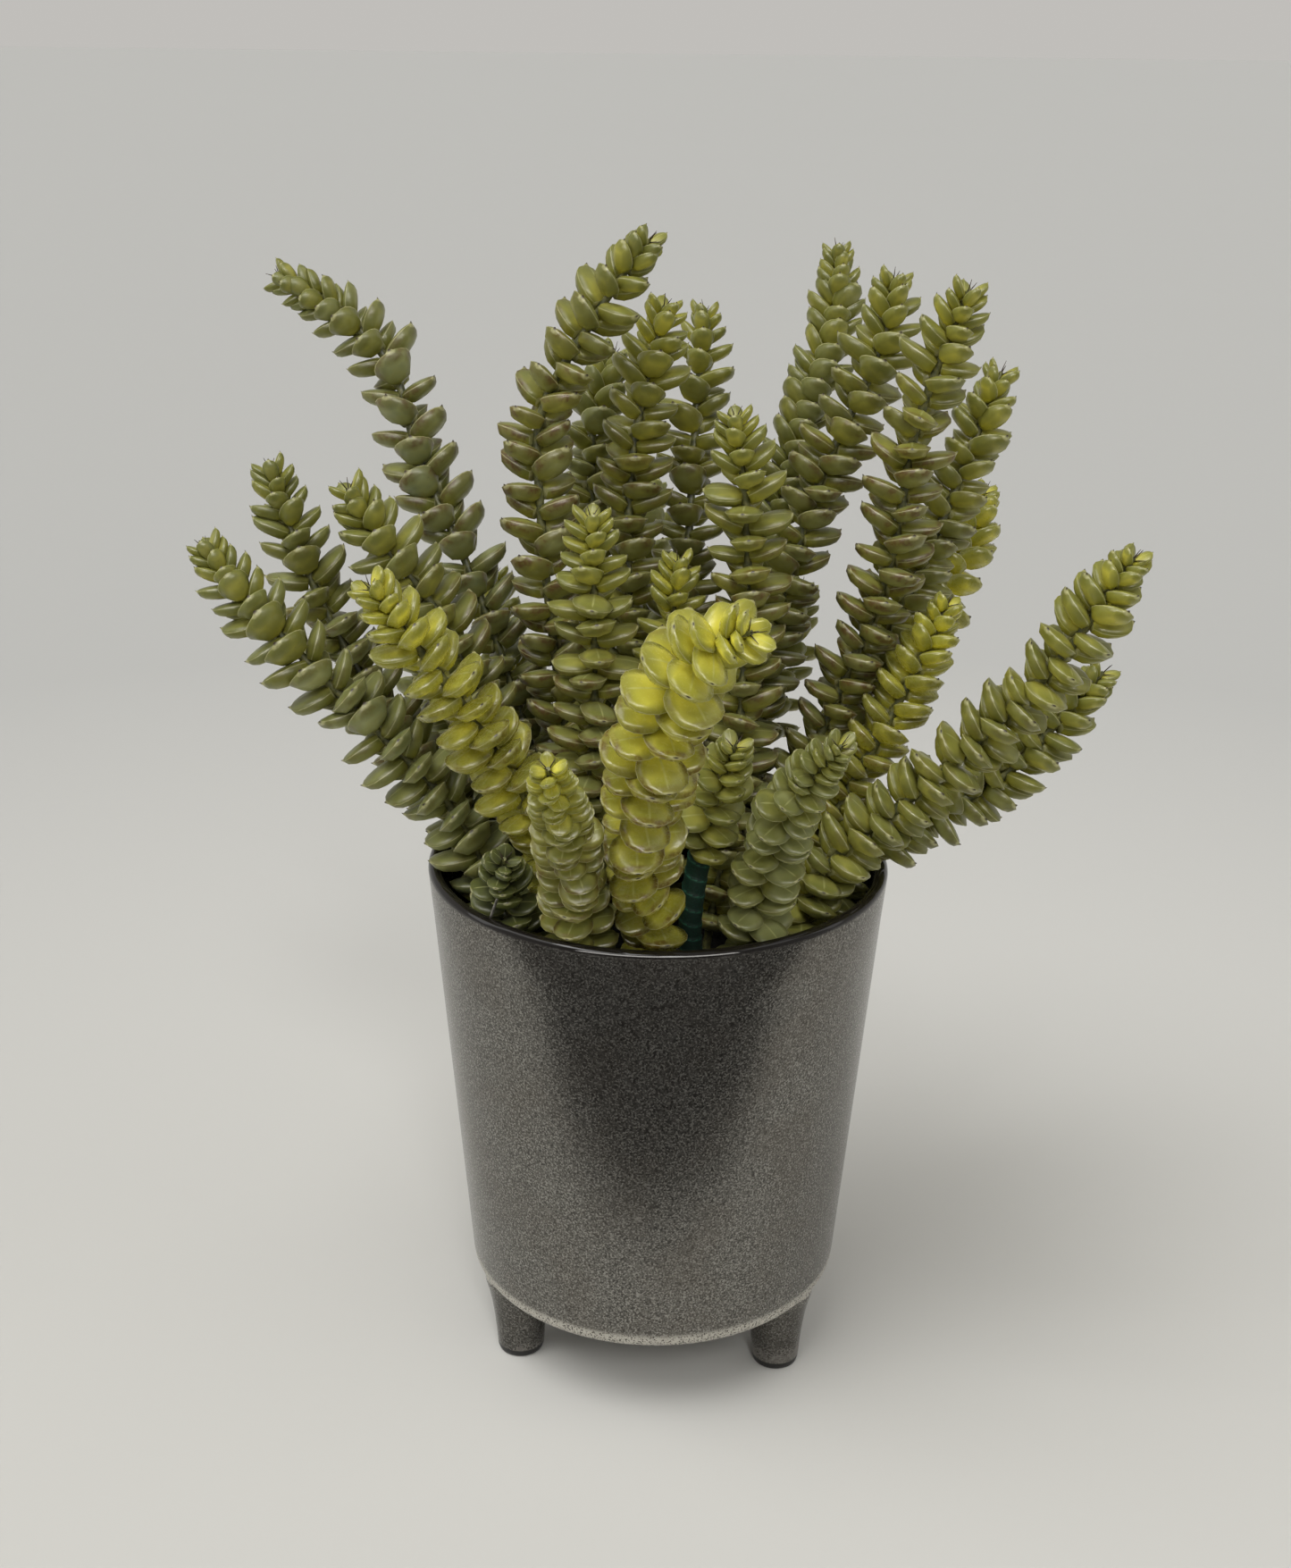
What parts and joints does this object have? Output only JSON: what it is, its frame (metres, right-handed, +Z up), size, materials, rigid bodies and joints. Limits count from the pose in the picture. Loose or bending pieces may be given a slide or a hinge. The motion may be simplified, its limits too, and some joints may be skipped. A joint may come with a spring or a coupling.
{
  "type": "potted donkey tail sedum",
  "caption": "Potted donkey tail succulent: arching stems densely set with plump pointed leaves, in a dark speckled glazed pot that stands on three short legs.",
  "frame": {"origin": "on the floor under the middle of the pot, level with the bottoms of the three feet", "axes": "+Z up along the pot's axis; -Y to the front, where the brightest stem leans out; +X to the right as seen from the front"},
  "size_m": [0.228, 0.2157, 0.2998],
  "materials": {
    "glaze": "satin",
    "dark_filling": "matte",
    "florist_tape": "matte",
    "leaf_lime": "satin",
    "leaf_yellow_green": "satin",
    "leaf_olive": "satin",
    "leaf_grey_green": "satin"
  },
  "bodies": {
    "root": {"pot": "glaze", "filling": "dark_filling", "taped_stalk": "florist_tape", "stem_front_lime": "leaf_lime", "stem_front_left": "leaf_yellow_green", "stem_front_right": "leaf_olive", "stem_front_small": "leaf_olive", "stem_rim_left": "leaf_grey_green", "stem_left_bright": "leaf_yellow_green", "stem_left_low": "leaf_grey_green", "stem_left_outer": "leaf_grey_green", "stem_left_inner": "leaf_olive", "stem_left_tall": "leaf_grey_green", "stem_left_back": "leaf_olive", "stem_mid_arching": "leaf_olive", "stem_mid_front": "leaf_olive", "stem_mid_tall": "leaf_olive", "stem_mid_left_back": "leaf_olive", "stem_mid_right_back": "leaf_olive", "stem_mid_short": "leaf_yellow_green", "stem_mid_right": "leaf_olive", "stem_right_low": "leaf_yellow_green", "stem_right_lower": "leaf_olive", "stem_right_yellow": "leaf_yellow_green", "stem_right_tall": "leaf_olive", "stem_right_tall_mid": "leaf_olive", "stem_right_tall_back": "leaf_olive", "stem_right_outer": "leaf_olive", "stem_right_back": "leaf_olive", "stem_back_right": "leaf_olive", "stem_back_mid": "leaf_olive", "stem_back_left": "leaf_olive"}
  },
  "joints": []
}
